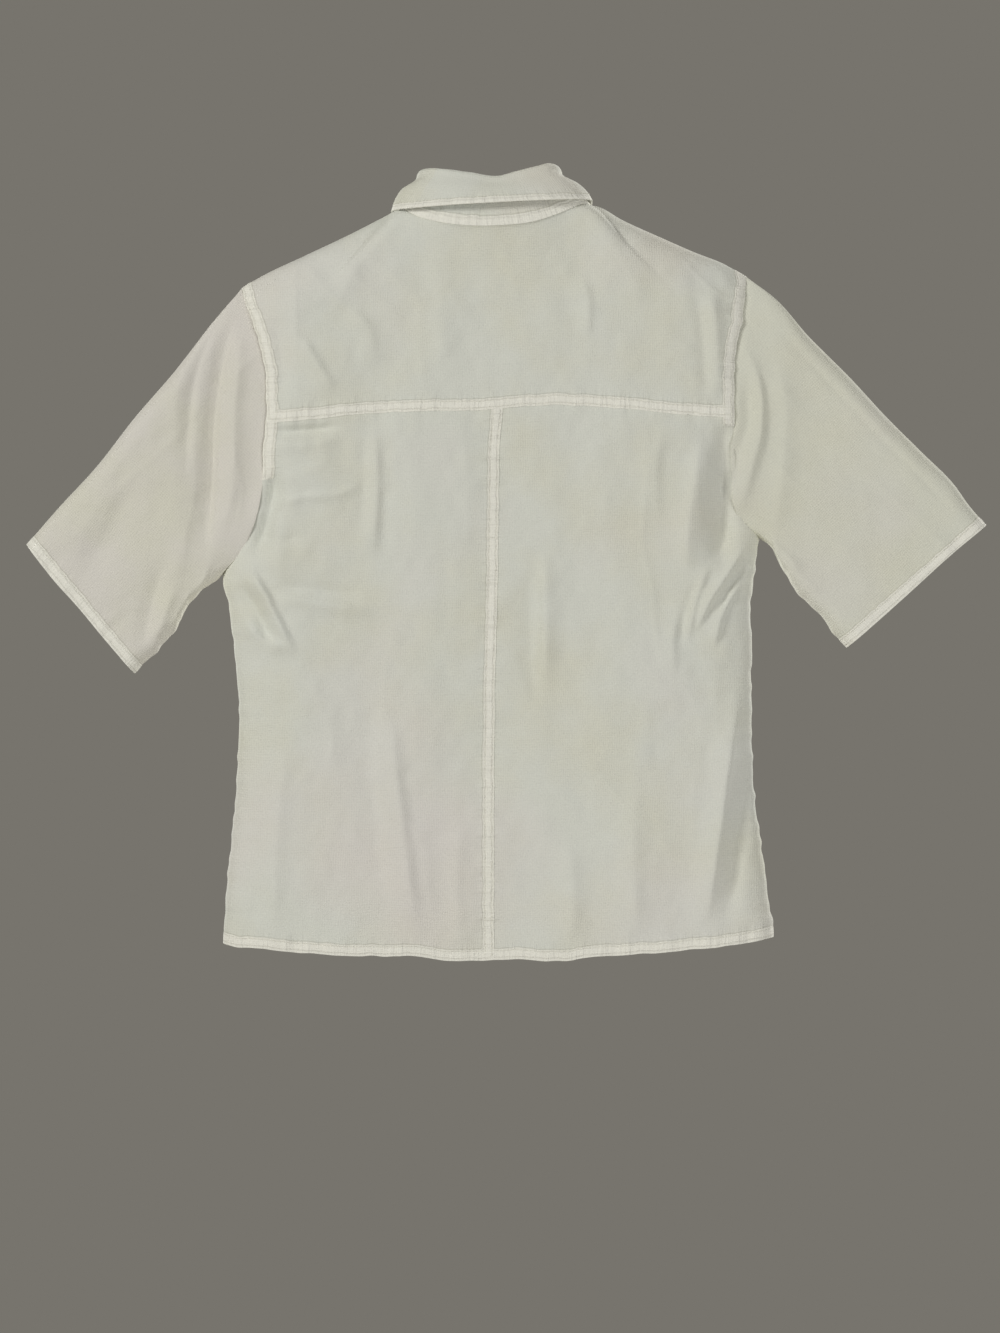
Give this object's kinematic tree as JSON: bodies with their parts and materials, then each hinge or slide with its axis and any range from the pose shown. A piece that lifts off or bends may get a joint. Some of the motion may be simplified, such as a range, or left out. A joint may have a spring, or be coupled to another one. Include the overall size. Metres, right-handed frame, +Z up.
{
  "type": "short-sleeved shirt",
  "caption": "Hanging white cotton shirt with turned-down collar, back yoke, centre back seam, buttoned front and wide elbow-length sleeves.",
  "frame": {"origin": "middle of the neck opening, level with the shoulder line, where a hanger's hook passes", "axes": "+Z up, +X to the wearer's right across the shirt, +Y out of the wearer's chest, so the back faces -Y"},
  "size_m": [0.864, 0.076, 0.7133],
  "materials": {
    "cotton_crepe": "white cotton crepe, matt, unpressed",
    "folded_cotton": "the same cotton, folded and topstitched, so creamier",
    "button_plastic": "off-white pearl plastic, satin",
    "sewing_thread": "off-white polyester thread"
  },
  "bodies": {
    "shirt": {"yoke": "cotton_crepe", "back_left": "cotton_crepe", "back_right": "cotton_crepe", "front_left_side": "cotton_crepe", "front_right_side": "cotton_crepe", "button_band_top": "folded_cotton", "buttonhole_band_top": "folded_cotton", "collar_stand_outer": "cotton_crepe", "collar_stand_inner": "cotton_crepe", "upper_collar_right": "cotton_crepe", "upper_collar_left": "cotton_crepe", "under_collar_right": "cotton_crepe", "under_collar_left": "cotton_crepe", "button_1": "button_plastic", "button_thread_1": "sewing_thread", "button_2": "button_plastic", "button_thread_2": "sewing_thread"},
    "left_sleeve": {"sleeve_left": "cotton_crepe"},
    "right_sleeve": {"sleeve_right": "cotton_crepe"},
    "collar_back": {"upper_collar_back": "cotton_crepe", "under_collar_back": "cotton_crepe"},
    "right_front": {"front_right_flap": "cotton_crepe", "buttonhole_band": "folded_cotton"},
    "left_front": {"front_left_flap": "cotton_crepe", "button_band": "folded_cotton", "button_3": "button_plastic", "button_4": "button_plastic", "button_5": "button_plastic", "button_6": "button_plastic", "button_7": "button_plastic", "button_thread_3": "sewing_thread", "button_thread_4": "sewing_thread", "button_thread_5": "sewing_thread", "button_thread_6": "sewing_thread", "button_thread_7": "sewing_thread"}
  },
  "joints": [
    {"name": "left_sleeve_swing", "type": "hinge", "parent": "shirt", "child": "left_sleeve", "pos_m": [-0.233, 0, -0.07578], "axis": [0.032, 0, -0.9995], "range_deg": [-65, 65]},
    {"name": "right_sleeve_swing", "type": "hinge", "parent": "shirt", "child": "right_sleeve", "pos_m": [0.233, 0, -0.06622], "axis": [0.0317, 0, 0.9995], "range_deg": [-65, 65]},
    {"name": "collar_lift", "type": "hinge", "parent": "shirt", "child": "collar_back", "pos_m": [0, -0.024, 0.032], "axis": [-0.9998, 0, -0.022], "range_deg": [0, 150]},
    {"name": "right_front_open", "type": "hinge", "parent": "shirt", "child": "right_front", "pos_m": [0.04, 0.0235, -0.13924], "axis": [0.2261, 0, -0.9741], "range_deg": [0, 110]},
    {"name": "left_front_open", "type": "hinge", "parent": "shirt", "child": "left_front", "pos_m": [-0.04, 0.0212, -0.14076], "axis": [0.2257, 0, 0.9742], "range_deg": [0, 50]}
  ],
  "couplings": [
    {"joint": "left_front_open", "follows": "right_front_open", "ratio": 0.45}
  ]
}
